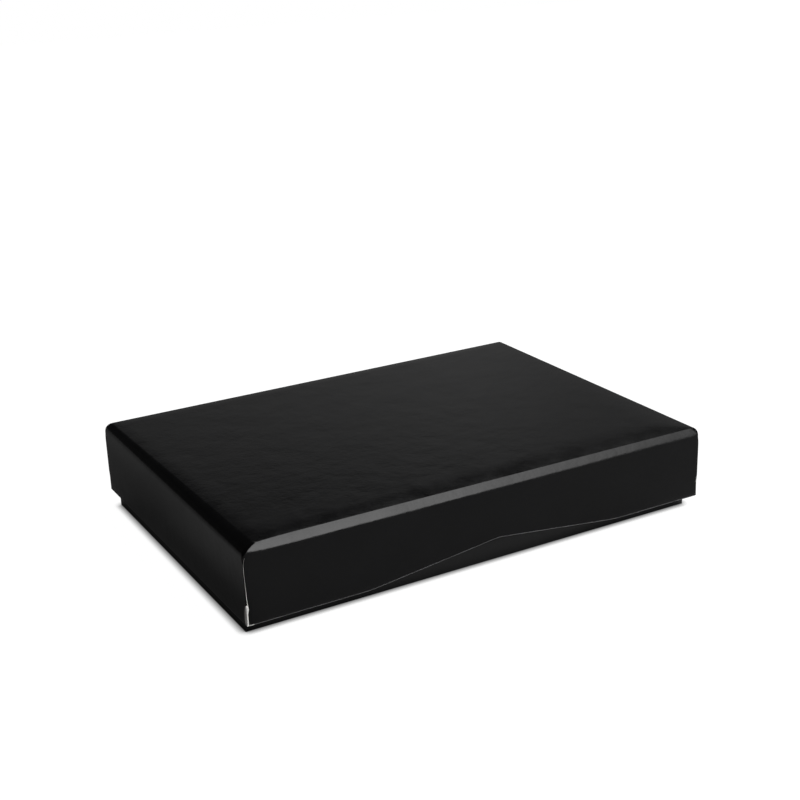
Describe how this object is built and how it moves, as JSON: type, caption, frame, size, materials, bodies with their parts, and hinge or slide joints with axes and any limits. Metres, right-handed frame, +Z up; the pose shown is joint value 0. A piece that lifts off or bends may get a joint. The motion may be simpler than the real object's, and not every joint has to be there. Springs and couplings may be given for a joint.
{
  "type": "gift box",
  "caption": "Low two-piece gift box: a black papered board cover with rounded top folds and a peaked thumb cut in its front wall, lifting off a slightly smaller inset tray.",
  "frame": {"origin": "centre of the box's footprint on the surface that the tray stands on", "axes": "+X to the box's right as seen from the front, +Y to the back (the thumb cut faces -Y), +Z up, the way the cover lifts off"},
  "size_m": [0.178, 0.127, 0.0318],
  "materials": {
    "covering_paper": "black soft-touch film on white-core paper, matt with a fine tooth",
    "lining_paper": "plain black uncoated paper",
    "board": "grey recycled board",
    "stay_paper": "gummed kraft paper"
  },
  "bodies": {
    "tray": {"tray_board": "board", "tray_wrap": "covering_paper", "tray_lining": "lining_paper", "tray_stay_front_left": "stay_paper", "tray_stay_front_right": "stay_paper", "tray_stay_back_left": "stay_paper", "tray_stay_back_right": "stay_paper"},
    "cover": {"cover_board": "board", "cover_wrap": "covering_paper", "cover_lining": "lining_paper", "cover_stay_front_left": "stay_paper", "cover_stay_front_right": "stay_paper", "cover_stay_back_left": "stay_paper", "cover_stay_back_right": "stay_paper"}
  },
  "joints": [
    {"name": "cover_lift", "type": "slide", "parent": "tray", "child": "cover", "axis": [0, 0, 1], "range_m": [0, 0.045]}
  ]
}
